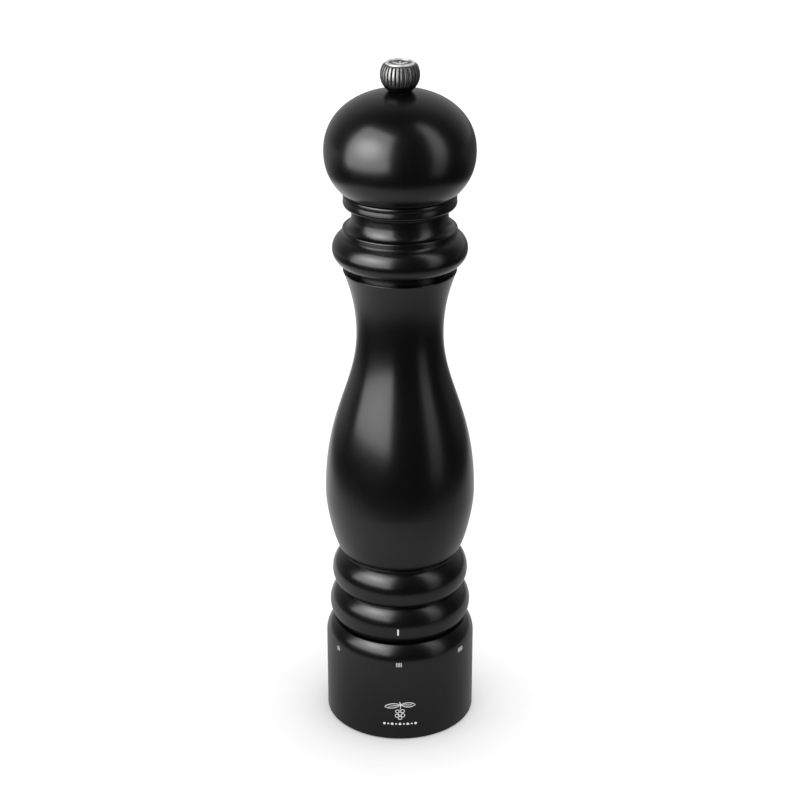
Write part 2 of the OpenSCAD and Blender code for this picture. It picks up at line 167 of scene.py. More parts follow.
def add_lathe(bm, outline, segments=SEGMENTS, radius_at=None, material_at=None):
    """Adds the closed outline turned about Z. radius_at(r, z, angle) may change a radius, and
    material_at(r, z, angle) gives the material index of the face round that middle point."""
    rings = []
    for r, z in outline:
        if r < 1e-6:
            rings.append([bm.verts.new((0, 0, z * MM))] * segments)
            continue
        ring = []
        for i in range(segments):
            a = 2 * math.pi * i / segments
            rr = (radius_at(r, z, a) if radius_at else r) * MM
            ring.append(bm.verts.new((rr * math.cos(a), rr * math.sin(a), z * MM)))
        rings.append(ring)
    for k, lower in enumerate(rings):
        upper = rings[(k + 1) % len(rings)]
        (r0, z0), (r1, z1) = outline[k], outline[(k + 1) % len(rings)]
        if r0 < 1e-6 and r1 < 1e-6:
            continue
        for i in range(segments):
            j = (i + 1) % segments
            angle = 2 * math.pi * (i + 0.5) / segments
            index = material_at((r0 + r1) / 2, (z0 + z1) / 2, angle) if material_at else 0
            corners = [lower[i], lower[j], upper[j], upper[i]]
            unique = [v for n, v in enumerate(corners) if v not in corners[:n]]
            bm.faces.new(unique).material_index = index


def lathe(name, body, outline, materials, **options):
    bm = bmesh.new()
    sharp = options.pop("sharp", 30)
    add_lathe(bm, outline, **options)
    return new_object(name, bm, body, materials, sharp)


# ---------------------------------------------------------------- materials
def principled(name):
    m = bpy.data.materials.new(name)
    m.use_nodes = True
    return m, m.node_tree, m.node_tree.nodes["Principled BSDF"]


def object_noise(tree, scale, detail=3.0, roughness=0.55, distortion=0.0):
    """Noise in object space. scale is (x, y, z) in cells per metre."""
    coords = tree.nodes.new("ShaderNodeTexCoord")
    mapping = tree.nodes.new("ShaderNodeMapping")
    mapping.inputs["Scale"].default_value = scale
    noise = tree.nodes.new("ShaderNodeTexNoise")
    noise.inputs["Scale"].default_value = 1.0
    noise.inputs["Detail"].default_value = detail
    noise.inputs["Roughness"].default_value = roughness
    noise.inputs["Distortion"].default_value = distortion
    tree.links.new(coords.outputs["Object"], mapping.inputs["Vector"])
    tree.links.new(mapping.outputs["Vector"], noise.inputs["Vector"])
    return noise.outputs["Fac"]


def spread(tree, value, low, high, start=0.3, end=0.7):
    """Maps a noise value to the range low to high."""
    node = tree.nodes.new("ShaderNodeMapRange")
    node.inputs["From Min"].default_value = start
    node.inputs["From Max"].default_value = end
    node.inputs["To Min"].default_value = low
    node.inputs["To Max"].default_value = high
    tree.links.new(value, node.inputs["Value"])
    return node.outputs["Result"]


def ramp(tree, value, *stops):
    """Colour ramp; each stop is (position, (r, g, b))."""
    node = tree.nodes.new("ShaderNodeValToRGB")
    elements = node.color_ramp.elements
    while len(elements) < len(stops):
        elements.new(0.5)
    for element, (position, colour) in zip(elements, stops):
        element.position = position
        element.color = (*colour, 1)
    tree.links.new(value, node.inputs["Fac"])
    return node.outputs["Color"]


def bump(tree, bsdf, height, strength, distance):
    node = tree.nodes.new("ShaderNodeBump")
    node.inputs["Strength"].default_value = strength
    node.inputs["Distance"].default_value = distance
    tree.links.new(height, node.inputs["Height"])
    tree.links.new(node.outputs["Normal"], bsdf.inputs["Normal"])


def surface(name, dark, light, rough, grain, metallic=0.0, bump_strength=0.15, bump_distance=0.00004,
            detail=3.0, ior=1.5):
    """A material with colour, roughness and bump from one noise of the given grain."""
    m, tree, bsdf = principled(name)
    noise = object_noise(tree, grain, detail)
    tree.links.new(ramp(tree, noise, (0.3, dark), (0.7, light)), bsdf.inputs["Base Color"])
    tree.links.new(spread(tree, noise, *rough), bsdf.inputs["Roughness"])
    bsdf.inputs["Metallic"].default_value = metallic
    bsdf.inputs["IOR"].default_value = ior
    bump(tree, bsdf, noise, bump_strength, bump_distance)
    return m


def lacquered_wood():
    """Black satin lacquer, thin enough that the grain just shows in its gloss."""
    m, tree, bsdf = principled("black_lacquer")
    grain = object_noise(tree, (1400, 1400, 45), 4.0, 0.6, 0.4)
    cloud = object_noise(tree, (60, 60, 30), 2.0)
    colour = ramp(tree, grain, (0.35, (0.0011, 0.00105, 0.0011)), (0.7, (0.0019, 0.0018, 0.0018)))
    tree.links.new(colour, bsdf.inputs["Base Color"])
    mix = tree.nodes.new("ShaderNodeMath")
    mix.operation = "ADD"
    tree.links.new(spread(tree, cloud, 0.22, 0.245), mix.inputs[0])
    tree.links.new(spread(tree, grain, 0.0, 0.025), mix.inputs[1])
    tree.links.new(mix.outputs[0], bsdf.inputs["Roughness"])
    bump(tree, bsdf, grain, 0.12, 0.00002)
    return m


def bare_beech():
    """Unfinished beech with long grain and short dark flecks."""
    m, tree, bsdf = principled("bare_beech")
    rings = object_noise(tree, (420, 420, 14), 4.0, 0.55, 0.8)
    flecks = object_noise(tree, (2600, 2600, 380), 2.0)
    base = ramp(tree, rings, (0.3, (0.42, 0.25, 0.13)), (0.55, (0.56, 0.36, 0.2)),
                (0.75, (0.64, 0.44, 0.27)))
    fleck = ramp(tree, flecks, (0.34, (0.45, 0.36, 0.3)), (0.42, (1, 1, 1)))
    mix = tree.nodes.new("ShaderNodeMix")
    mix.data_type = "RGBA"
    mix.blend_type = "MULTIPLY"
    mix.inputs["Factor"].default_value = 0.6
    tree.links.new(base, mix.inputs[6])
    tree.links.new(fleck, mix.inputs[7])
    tree.links.new(mix.outputs[2], bsdf.inputs["Base Color"])
    tree.links.new(spread(tree, rings, 0.55, 0.75), bsdf.inputs["Roughness"])
    bump(tree, bsdf, flecks, 0.3, 0.00006)
    return m


# Painted shade on the knob's foot: its metal is darkest below the first of these heights and brightens up
# to the second, metres
PAINTED_SHADE_FULL_Z, PAINTED_SHADE_END_Z = 0.2903, 0.2935


def burnished_metal_with_painted_foot_shade():
    """Dark metal, with painted shade that darkens the knob's foot, so that the upper part is brighter."""
    m = surface("burnished_metal_with_painted_foot_shade", (0.1, 0.1, 0.097), (0.24, 0.24, 0.235), (0.3, 0.42),
                (1500, 1500, 500), metallic=1.0, bump_strength=0.25)
    tree = m.node_tree
    bsdf = tree.nodes["Principled BSDF"]
    metal_tone = bsdf.inputs["Base Color"].links[0].from_socket
    coords = tree.nodes.new("ShaderNodeTexCoord")
    xyz = tree.nodes.new("ShaderNodeSeparateXYZ")
    tree.links.new(coords.outputs["Object"], xyz.inputs[0])
    # Painted shade: the metal's colour is multiplied by 0.12 at the foot, rising to 1 higher up
    height = spread(tree, xyz.outputs[2], 0.12, 1.0, PAINTED_SHADE_FULL_Z, PAINTED_SHADE_END_Z)
    mix = tree.nodes.new("ShaderNodeMix")
    mix.data_type = "RGBA"
    mix.blend_type = "MULTIPLY"
    mix.inputs["Factor"].default_value = 1.0
    tree.links.new(metal_tone, mix.inputs[6])
    tree.links.new(height, mix.inputs[7])
    tree.links.new(mix.outputs[2], bsdf.inputs["Base Color"])
    return m


LACQUER = lacquered_wood()
BEECH = bare_beech()
INK = surface("printed_ink", (0.56, 0.56, 0.55), (0.68, 0.68, 0.67), (0.45, 0.6),
              (4000, 4000, 4000))
KNOB_METAL = burnished_metal_with_painted_foot_shade()
# Painted shade for the knob's grooves: a near-black metal, so that their faces mirror little of the lights
GROOVE_SHADE_METAL = surface("painted_groove_shade_metal", (0.012, 0.012, 0.012), (0.03, 0.03, 0.03), (0.4, 0.6),
                       (1800, 1800, 900), metallic=0.6, bump_strength=0.3)
BEZEL_METAL = surface("satin_steel", (0.5, 0.51, 0.52), (0.6, 0.61, 0.62), (0.3, 0.4),
                      (900, 900, 900), metallic=0.35, bump_strength=0.05)
ENAMEL = surface("dark_enamel", (0.012, 0.014, 0.03), (0.02, 0.023, 0.045), (0.12, 0.2), (700, 700, 700),
                 bump_strength=0.03)
ALUMINIUM = surface("drawn_aluminium", (0.62, 0.63, 0.64), (0.78, 0.79, 0.8), (0.22, 0.36),
                    (3500, 3500, 30), metallic=1.0, bump_strength=0.2)
ZINC = surface("zinc_plated_steel", (0.5, 0.51, 0.52), (0.68, 0.69, 0.7), (0.25, 0.4), (1200, 1200, 1200),
               metallic=1.0, bump_strength=0.1)
BURR = surface("hardened_steel", (0.16, 0.165, 0.17), (0.34, 0.345, 0.35), (0.3, 0.5), (900, 900, 500),
               metallic=1.0, bump_strength=0.25)
SPRING = surface("spring_steel", (0.42, 0.42, 0.43), (0.6, 0.6, 0.61), (0.2, 0.32), (1500, 1500, 1500),
                 metallic=1.0, bump_strength=0.1)
BLACK_PLASTIC = surface("black_plastic", (0.02, 0.02, 0.021), (0.034, 0.034, 0.036), (0.42, 0.55),
                        (3200, 3200, 3200), bump_strength=0.3)
IVORY_PLASTIC = surface("ivory_plastic", (0.66, 0.62, 0.52), (0.74, 0.7, 0.6), (0.35, 0.48),
                        (1400, 1400, 1400), bump_strength=0.12)
BRASS = surface("machined_brass", (0.62, 0.46, 0.2), (0.76, 0.6, 0.3), (0.2, 0.32), (900, 900, 4200),
                metallic=1.0, bump_strength=0.15)

CARRIED = {
    BLACK_PLASTIC: ("mechanism_housing", "shaft_guide", "retaining_ring", "stator_carrier"),
    ZINC: ("housing_screws", "retaining_ring_screws", "rotor_washer", "rotor_screw", "driver_plate",
           "driver_screws"),
    SPRING: ("detent_ball", "detent_spring", "wave_spring", "retaining_clip"),
    IVORY_PLASTIC: ("adjuster_ring", "thrust_washer", "knob_washer"),
    BURR: ("stator", "rotor"),
    BRASS: ("knob_insert",),
}
for carried_material, carried_nodes in CARRIED.items():
    for carried_node in carried_nodes:
        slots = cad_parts[carried_node].data.materials
        slots.clear()
        slots.append(carried_material)


# ---------------------------------------------------------------- turned wood
# Material index of bare wood, and the slack when a face's radius is compared with a bore's
BARE = 1
TOUCH = 0.01


def head_radius(dz):
    """Radius of the head's superellipse dz above its middle."""
    return HEAD_R * (1 - (abs(dz) / HEAD_HALF_H) ** HEAD_POWER) ** (1 / HEAD_POWER)


def bead_meeting():
    """Angle at which the lower bead's arc ends and that at which the upper bead's starts."""
    gap = Vector(BEAD_HIGH) - Vector(BEAD_LOW)
    line = math.degrees(math.atan2(gap.y, gap.x))
    reach = math.degrees(math.acos(gap.length / 2 / BEAD_ARC_R))
    return line - reach, line + reach - 180


def beads_and_belly():
    """Outline of the two beads, the belly and the narrowing up to the waist."""
    (low_r, low_z), (high_r, high_z) = BEAD_LOW, BEAD_HIGH
    (foot_r, foot_z), (belly_r, belly_z), (waist_r, waist_z) = BELLY_START, BELLY, WAIST
    low_start = math.degrees(math.asin((BODY_Z0 - low_z) / BEAD_ARC_R))
    low_end, high_start = bead_meeting()
    foot_handle = (foot_r + FOOT_PULL[0], foot_z + FOOT_PULL[1])
    return (
        arc(low_r - BEAD_ARC_R, low_z, BEAD_ARC_R, low_start, low_end, 44)
        + arc(high_r - BEAD_ARC_R, high_z, BEAD_ARC_R, high_start, BEAD_END, 44)[1:]
        + curve(BELLY_START, foot_handle, (belly_r, belly_z - BELLY_PULL_LOW), BELLY, 26)
        + curve(BELLY, (belly_r, belly_z + BELLY_PULL_HIGH), (waist_r, waist_z - WAIST_PULL), WAIST, 44)[1:]
    )


def neck_and_ring():
    """Outline of the flare over the waist, the neck's groove and the ring."""
    ring_r, ring_z = RING
    flare_end = math.degrees(math.asin((NECK_Z - WAIST[1]) / FLARE_ARC_R))
    flare = arc(WAIST[0] + FLARE_ARC_R, WAIST[1], FLARE_ARC_R, 180, 180 - flare_end, 25)
    ring_centre = ring_r - RING_ARC_R
    return (
        flare[1:-1]
        + fillet(flare[-2], flare[-1], (NECK_GROOVE_R, NECK_Z), 0.25)
        + [(NECK_GROOVE_R, NECK_Z), (NECK_GROOVE_R, ring_z - RING_ARC_R + 0.02)]
        + arc(ring_centre, ring_z, RING_ARC_R, RING_START, RING_END, 48)
    )


def band_and_cove(ring_end):
    """Outline of the band that stands on the ring's end, its ledge and the cove over it."""
    top = (BAND_R, BAND_TOP)
    return (
        fillet(ring_end, (BAND_R, BAND_TOP - 2.4), top, BAND_FOOT_EDGE, 4)
        + fillet((BAND_R, BAND_TOP - 2), top, (BAND_TOP_R, BAND_TOP + 0.05), BAND_EDGE, 8)
        + curve((BAND_TOP_R, LEDGE_Z), (LEDGE_R, LEDGE_Z), (COVE_R, COVE_LOW - 2.8),
                (COVE_R, COVE_LOW), 18)[1:]
    )


def collar():
    """Outline of the collar: round below, a shallow waist and a rounded top edge."""
    inner = COLLAR_R - COLLAR_ARC_R
    hollow = COLLAR_R - COLLAR_WAIST_DEPTH
    waist = COLLAR_WAIST_Z
    return (
        curve((COVE_R, COVE_HIGH), (COVE_R, COLLAR_LOW), (inner - 0.9, COLLAR_LOW),
              (inner, COLLAR_LOW), 14)
        + arc(inner, COLLAR_LOW + COLLAR_ARC_R, COLLAR_ARC_R, -90, 5, 16)[1:]
        + curve((COLLAR_R - 0.03, waist - 1.0), (hollow, waist - 0.3), (hollow, waist - 0.2),
                (hollow, waist), 8)
        + curve((hollow, waist), (hollow, waist + 0.3), (COLLAR_R, waist + 0.5),
                (COLLAR_R, waist + 0.9), 8)[1:]
        + arc(COLLAR_R - COLLAR_EDGE, COLLAR_Z - COLLAR_EDGE, COLLAR_EDGE, 0, 90, 10)
    )


def body_outside():
    """Outline of the body's outside, from its lower edge to the collar's flat top."""
    below = beads_and_belly() + neck_and_ring()
    return below + band_and_cove(below[-1]) + collar()


BODY_INSIDE = [
    (SOCKET_R + 0.5, COLLAR_Z), (SOCKET_R, COLLAR_Z - 0.5), (SOCKET_R, SOCKET_Z), (CHAMBER_R, SOCKET_Z),
    (CHAMBER_R, RECESS_Z + 3), (CHAMBER_FOOT_R, RECESS_Z), (RECESS_R, RECESS_Z), (RECESS_R, BODY_Z0),
]


def body_material(r, z, angle):
    """Bare wood in the socket, the chamber and the mechanism's recess."""
    in_bore = r < SOCKET_R + 0.6
    in_recess = z < RECESS_Z + 0.2 and r < RECESS_R + TOUCH
    return BARE if in_bore or in_recess else 0


body = lathe("turned_body", "mill_body", body_outside() + BODY_INSIDE, (LACQUER, BEECH),
             material_at=body_material)
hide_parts("body")

BASE_BORE_R, LIP_BORE_R, LIP_Z = 27.0, 23.2, 36.0
shoulder_end = math.degrees(math.asin((BASE_H - SHOULDER_Z) / SHOULDER_R))
shoulder = arc(BASE_R - SHOULDER_R, SHOULDER_Z, SHOULDER_R, 0, shoulder_end, 30)
LIP_BEVEL, FOOT_BEVEL = 0.6, 0.4
base_outline = (
    fillet((BASE_BORE_R, 0), (BASE_R, 0), (BASE_R, SHOULDER_Z), 0.6, 6)
    + shoulder[:-1]
    + fillet(shoulder[-2], shoulder[-1], (LIP_BORE_R, BASE_H), 0.25, 5)
    + [(LIP_BORE_R + LIP_BEVEL, BASE_H), (LIP_BORE_R, BASE_H - LIP_BEVEL), (LIP_BORE_R, LIP_Z),
       (BASE_BORE_R, LIP_Z), (BASE_BORE_R, FOOT_BEVEL), (BASE_BORE_R + FOOT_BEVEL, 0)]
)


def base_material(r, z, angle):
    """Bare wood in the bore, below the lip's bevel."""
    return BARE if r < BASE_BORE_R + TOUCH and z < BASE_H - LIP_BEVEL else 0


base = lathe("turned_base", "grind_selector", base_outline, (LACQUER, BEECH), material_at=base_material)
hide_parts("base_ring")


def head_outline():
    low = math.asin((HEAD_BOTTOM + HEAD_SIDE_LOW - HEAD_Z) / HEAD_HALF_H)
    steps = 96
    top = HEAD_HALF_H * math.sin(math.radians(HEAD_TOP_ANGLE))
    high = math.asin(top / HEAD_HALF_H)
    side = []
    for i in range(steps + 1):
        dz = HEAD_HALF_H * math.sin(low + (high - low) * i / steps)
        side.append((head_radius(dz), HEAD_Z + dz))
    crown = HEAD_Z + HEAD_HALF_H
    seat_z = TENON_Z + DRIVER_SEAT_DEPTH
    return (
        [(TENON_R - 0.8, TENON_Z), (TENON_R, TENON_Z + 0.8), (TENON_R, HEAD_BOTTOM)]
        + fillet((TENON_R, HEAD_BOTTOM), (HEAD_FLAT_R, HEAD_BOTTOM),
                 (HEAD_FLAT_R + 0.2, HEAD_BOTTOM + 0.7), 0.3, 4)
        + side
        + [(STUD_BORE_R + 0.5, crown - 0.03), (STUD_BORE_R, crown - 0.4), (STUD_BORE_R, SHAFT_TOP + 1),
           (SHAFT_BORE_R, SHAFT_TOP + 1), (SHAFT_BORE_R, seat_z), (DRIVER_SEAT_R, seat_z),
           (DRIVER_SEAT_R, TENON_Z)]
    )


def head_material(r, z, angle):
    """Bare wood on the tenon, on the flat round it and in the bore."""
    on_tenon = z < HEAD_BOTTOM - 1
    on_flat = r < TENON_R + 0.7 and z < HEAD_BOTTOM + 1
    in_bore = r < SHAFT_BORE_R + 0.1 and z < SHAFT_TOP + 4
    return BARE if on_tenon or on_flat or in_bore else 0


head = lathe("turned_head", "head", head_outline(), (LACQUER, BEECH), material_at=head_material)
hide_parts("head_ball")


# ---------------------------------------------------------------- knob
def rib_height(angle):
    """0 in a groove and 1 on a rib's rounded crest."""
    phase = (angle * KNOB_RIBS / (2 * math.pi)) % 1.0
    return min(1.0, (1 - abs(2 * phase - 1)) / GROOVE_SHARE) ** 0.8


def knob_radius(r, z, angle):
    """Cuts the grooves between the ribs, faded out at both ends."""
    if r < RIB_INNER_R or z < RIB_Z:
        return r
    fade_low = min(1.0, (z - RIB_Z) / RIB_FADE_LOW)
    fade_high = min(1.0, max(0.0, (RIB_TOP_Z - z) / RIB_FADE_HIGH))
    return r - RIB_DEPTH * (1 - rib_height(angle)) * fade_low * fade_high


def knob_outline():
    start = math.degrees(math.asin((KNOB_BOTTOM - KNOB_Z) / KNOB_ARC_R))
    return (
        [(WASHER_BORE_R, WASHER_TOP + 0.05), (WASHER_BORE_R, KNOB_BOTTOM)]
        + arc(KNOB_R - KNOB_ARC_R, KNOB_Z, KNOB_ARC_R, start, 30, 40)
        + arc(KNOB_EDGE_R, KNOB_TOP - KNOB_EDGE, KNOB_EDGE, 34, 90, 8)
        + [(KNOB_SEAT_R, KNOB_TOP), (KNOB_SEAT_R, KNOB_SEAT_Z), (INSERT_BORE_R, KNOB_SEAT_Z),
           (INSERT_BORE_R, WASHER_TOP + 0.05)]
    )


def knob_material(r, z, angle):
    """Painted shade: near-black metal in the grooves, and the knob's own metal elsewhere."""
    ribbed = r > RIB_INNER_R and RIB_Z + 0.4 < z < RIB_TOP_Z - 0.1
    return 1 if ribbed and rib_height(angle) < 0.8 else 0


knob = lathe("knob_ribbed", "knob", knob_outline(), (KNOB_METAL, GROOVE_SHADE_METAL),
             segments=KNOB_RIBS * 14, radius_at=knob_radius, sharp=26, material_at=knob_material)
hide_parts("knob_shell")

bezel = lathe(
    "knob_ring", "knob",
    [(BEZEL_IN_R, INLAY_Z), (BEZEL_OUT_R, INLAY_Z), (BEZEL_OUT_R, BEZEL_TOP_Z - 0.05)]
    + arc(BEZEL_OUT_R - BEZEL_ROUND, BEZEL_TOP_Z, BEZEL_ROUND, 0, 180, 16)
    + [(BEZEL_IN_R, BEZEL_TOP_Z - 0.05)],
    (BEZEL_METAL,), segments=128,
)
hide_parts("knob_bezel")

disc = lathe(
    "knob_inlay", "knob",
    [(0, INLAY_Z), (DISC_R, INLAY_Z), (DISC_R, DISC_TOP - 0.05), (DISC_RIM_R, DISC_TOP),
     (DISC_DISH_R, DISC_FLOOR), (0, DISC_FLOOR)],
    (ENAMEL,), segments=96,
)
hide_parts("knob_disc")


# ---------------------------------------------------------------- shaft with its threaded stud
def square_bar(bm, width, z0, z1, edge):
    """A square bar with rounded long edges and bevelled ends."""
    def ring(z, inset):
        half = width / 2 - inset
        points = []
        for k, (sx, sy) in enumerate(((1, 1), (-1, 1), (-1, -1), (1, -1))):
            for i in range(4):
                a = math.radians(90 * k + 30 * i)
                points.append((sx * (half - edge) + edge * math.cos(a),
                               sy * (half - edge) + edge * math.sin(a)))
        return [bm.verts.new((x * MM, y * MM, z * MM)) for x, y in points]
    rings = [ring(z0, 0.3), ring(z0 + 0.3, 0), ring(z1 - 0.3, 0), ring(z1, 0.3)]
    for low, high in zip(rings, rings[1:]):
        for i, v in enumerate(low):
            j = (i + 1) % len(low)
            bm.faces.new((v, low[j], high[j], high[i]))
    bm.faces.new(rings[0])
    bm.faces.new(rings[-1])


def threaded_rod(bm, major, minor, pitch, z0, z1, segments=48):
    """A rod whose surface is a true helical thread, faded out at both ends."""
    per_turn = 10
    rows = int((z1 - z0) / pitch * per_turn)
    rings = []
    for k in range(rows + 1):
        z = z0 + (z1 - z0) * k / rows
        ring = []
        for i in range(segments):
            a = 2 * math.pi * i / segments
            phase = ((z - z0) / pitch - a / (2 * math.pi)) % 1.0
            ridge = max(0.0, 1 - abs(2 * phase - 1) * 1.25)
            fade = min(1.0, (z - z0) / 0.6, (z1 - z) / 0.9 + 0.05)
            r = minor + (major - minor) * ridge * max(0.0, fade)
            ring.append(bm.verts.new((r * MM * math.cos(a), r * MM * math.sin(a), z * MM)))
        rings.append(ring)
    for low, high in zip(rings, rings[1:]):
        for i, v in enumerate(low):
            j = (i + 1) % segments
            bm.faces.new((v, low[j], high[j], high[i]))
    bm.faces.new(rings[0])
    bm.faces.new(rings[-1])


shaft_low, shaft_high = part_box("drive_shaft")
shaft_mesh = bmesh.new()
square_bar(shaft_mesh, SHAFT_W, shaft_low.z / MM, SHAFT_TOP, SHAFT_EDGE)
threaded_rod(shaft_mesh, STUD_R, STUD_ROOT_R, STUD_PITCH, SHAFT_TOP - 0.3, shaft_high.z / MM)
shaft = new_object("threaded_shaft", shaft_mesh, "grind_drive", (ALUMINIUM,), 35)
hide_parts("drive_shaft")


# ---------------------------------------------------------------- printed marks
# Heights of a mark's face and of its hidden underside over the surface, and the hole left in a dot
INK_THICK, INK_ROOT = 0.009, -0.03
DOT_HOLE_R = 0.02


def on_turned(surface_at):
    """Places a point on a turned surface: across is measured along its circumference from the front."""
    def place(across, height, lift):
        r = surface_at(height)
        a = across / r - math.pi / 2
        return (r + lift) * MM * math.cos(a), (r + lift) * MM * math.sin(a), height * MM
    return place


def on_disc(x, y, lift):
    return x * MM, y * MM, (DISC_FLOOR + lift) * MM


def ink_strip(bm, place, left, right, closed=False):
    """A printed strip between two rows of (across, height) points, as a thin closed solid."""
    rows = [[bm.verts.new(place(x, z, lift)) for x, z in side]
            for side, lift in ((left, INK_THICK), (right, INK_THICK), (right, INK_ROOT), (left, INK_ROOT))]
    n = len(left)
    for i in range(n if closed else n - 1):
        j = (i + 1) % n
        for k in range(4):
            m = (k + 1) % 4
            bm.faces.new((rows[k][i], rows[k][j], rows[m][j], rows[m][i]))
    if not closed:
        bm.faces.new([row[0] for row in rows])
        bm.faces.new([row[-1] for row in rows])


def stroke(bm, place, points, width, closed=False):
    """A pen stroke along points, tapering a little at its ends."""
    n = len(points)
    left, right = [], []
    for i, (x, z) in enumerate(points):
        a = points[(i - 1) % n if closed else max(i - 1, 0)]
        b = points[(i + 1) % n if closed else min(i + 1, n - 1)]
        d = Vector((b[0] - a[0], b[1] - a[1])).normalized()
        t = 1.0 if closed else 1 - 0.55 * abs(2 * i / (n - 1) - 1) ** 4
        half = width / 2 * t
        left.append((x - d.y * half, z + d.x * half))
        right.append((x + d.y * half, z - d.x * half))
    ink_strip(bm, place, left, right, closed)


def dot(bm, place, x, z, radius):
    n = 16
    ring = [(x + radius * math.cos(2 * math.pi * i / n), z + radius * math.sin(2 * math.pi * i / n))
            for i in range(n)]
    hub = [(x + DOT_HOLE_R * math.cos(2 * math.pi * i / n), z + DOT_HOLE_R * math.sin(2 * math.pi * i / n))
           for i in range(n)]
    ink_strip(bm, place, ring, hub, True)


def bar(bm, place, x, z0, z1, width):
    steps = 4
    heights = [z0 + (z1 - z0) * i / steps for i in range(steps + 1)]
    ink_strip(bm, place, [(x - width / 2, z) for z in heights], [(x + width / 2, z) for z in heights])


def base_surface(z):
    if z <= SHOULDER_Z:
        return BASE_R
    return BASE_R - SHOULDER_R + math.sqrt(SHOULDER_R**2 - (z - SHOULDER_Z) ** 2)


def bead_surface(z):
    return BEAD_LOW[0] - BEAD_ARC_R + math.sqrt(BEAD_ARC_R**2 - (z - BEAD_LOW[1]) ** 2)


on_base = on_turned(base_surface)
INDEX_ACROSS, INDEX_LOW, INDEX_HIGH, INDEX_WIDTH = -0.85, 52.05, 55.15, 0.7
index_mesh = bmesh.new()
bar(index_mesh, on_turned(bead_surface), INDEX_ACROSS, INDEX_LOW, INDEX_HIGH, INDEX_WIDTH)
new_object("index_mark", index_mesh, "mill_body", (INK,))

# Each setting's tally, by its place round the ring: bars grow from one to six
TALLY_LOW, TALLY_HIGH = 37.3, 39.3
TALLY_PITCH, TALLY_WIDTH = 0.7, 0.28
TALLY_SHIFT, FRONT_SETTING = -0.45, 4
STEP_ANGLE = 55
tally_mesh = bmesh.new()
for setting in range(1, 7):
    centre = math.radians((setting - FRONT_SETTING) * STEP_ANGLE) * BASE_R + TALLY_SHIFT
    for k in range(setting):
        bar(tally_mesh, on_base, centre + (k - (setting - 1) / 2) * TALLY_PITCH, TALLY_LOW, TALLY_HIGH,
            TALLY_WIDTH)
new_object("setting_tallies", tally_mesh, "grind_selector", (INK,))


def leaf(bm, at, root, tip, bulge, width):
    """A leaf outline from root to tip with a midrib."""
    (x0, z0), (x1, z1) = root, tip
    nx, nz = -(z1 - z0), x1 - x0
    length = math.hypot(nx, nz)
    nx, nz = nx / length * bulge, nz / length * bulge
    mid_a = (x0 + (x1 - x0) * 0.35, z0 + (z1 - z0) * 0.35)
    mid_b = (x0 + (x1 - x0) * 0.8, z0 + (z1 - z0) * 0.8)
    upper = curve(root, (mid_a[0] + nx, mid_a[1] + nz),
                  (mid_b[0] + nx * 0.7, mid_b[1] + nz * 0.7), tip, 14)
    lower = curve(root, (mid_a[0] - nx, mid_a[1] - nz),
                  (mid_b[0] - nx * 0.7, mid_b[1] - nz * 0.7), tip, 14)
    stroke(bm, at, upper, width)
    stroke(bm, at, lower, width)
    rib_end = (x0 + (x1 - x0) * 0.78, z0 + (z1 - z0) * 0.78)
    midrib = [(x0 + (rib_end[0] - x0) * i / 6, z0 + (rib_end[1] - z0) * i / 6) for i in range(7)]
    stroke(bm, at, midrib, width * 0.8)


# A sprig of pepper: two leaves, a stem and a hanging cluster of corns, over a row of loose corns
PEN = 0.36
CORN_R = 0.82
LOOSE_CORNS, LOOSE_PITCH, LOOSE_Z = 9, 1.75, 7.9
LOOSE_BIG_R, LOOSE_SMALL_R = 0.62, 0.42
emblem_mesh = bmesh.new()
stroke(emblem_mesh, on_base, curve((-0.4, 19.4), (0.6, 18.2), (0.3, 16.6), (0.0, 15.2), 10), PEN)
leaf(emblem_mesh, on_base, (0.2, 17.9), (-6.9, 16.6), 1.7, PEN)
leaf(emblem_mesh, on_base, (0.3, 17.9), (6.9, 17.6), 1.7, PEN)
for cx, cz in ((-1.15, 14.4), (1.15, 14.6), (0.0, 13.3), (-1.35, 12.2), (1.3, 12.4), (0.0, 11.1)):
    corn = arc(cx, cz, CORN_R, 0, 337.5, 15)
    stroke(emblem_mesh, on_base, corn, PEN * 0.85, True)
for k in range(LOOSE_CORNS):
    dot(emblem_mesh, on_base, (k - LOOSE_CORNS // 2) * LOOSE_PITCH, LOOSE_Z,
        LOOSE_BIG_R if k % 2 == 0 else LOOSE_SMALL_R)
new_object("sprig_emblem", emblem_mesh, "grind_selector", (INK,))

# The disc bears a small sprig too: a stem with a leaf on each side
disc_mark_mesh = bmesh.new()
stroke(disc_mark_mesh, on_disc, [(0, -2.9 + 0.58 * i) for i in range(11)], 0.4)
for side in (-1, 1):
    leaf(disc_mark_mesh, on_disc, (0.3 * side, -1.4), (3.0 * side, 1.5), 0.9, 0.34)
new_object("disc_sprig", disc_mark_mesh, "knob", (INK,))

# ---------------------------------------------------------------- studio
CAMERA_AT = Vector((0.0, -0.7936, 0.502))
CAMERA_PITCH = math.radians(90 - 23.85)
camera = bpy.data.objects.new("camera", bpy.data.cameras.new("camera"))
bpy.context.scene.collection.objects.link(camera)
camera.location = CAMERA_AT
camera.rotation_euler = (CAMERA_PITCH, 0, 0)
camera.data.sensor_width = 36
camera.data.lens = 90.4
bpy.context.scene.camera = camera


def stage_quad(name, corners, material, glossy_only):
    """A stage sheet with four corners."""
    mesh = bpy.data.meshes.new(name)
    mesh.from_pydata(corners, [], [(0, 1, 2, 3)])
    mesh.materials.append(material)
    obj = bpy.data.objects.new(name, mesh)
    bpy.context.scene.collection.objects.link(obj)
    if glossy_only:
        obj.visible_camera = False
        obj.visible_diffuse = False
        obj.visible_shadow = False
    return obj


def plane(name, centre, across, up, material, glossy_only):
    """A stage rectangle spanned by two half-side vectors."""
    centre, across, up = Vector(centre), Vector(across), Vector(up)
    corners = (centre - across - up, centre + across - up, centre + across + up, centre - across + up)
    return stage_quad(name, corners, material, glossy_only)


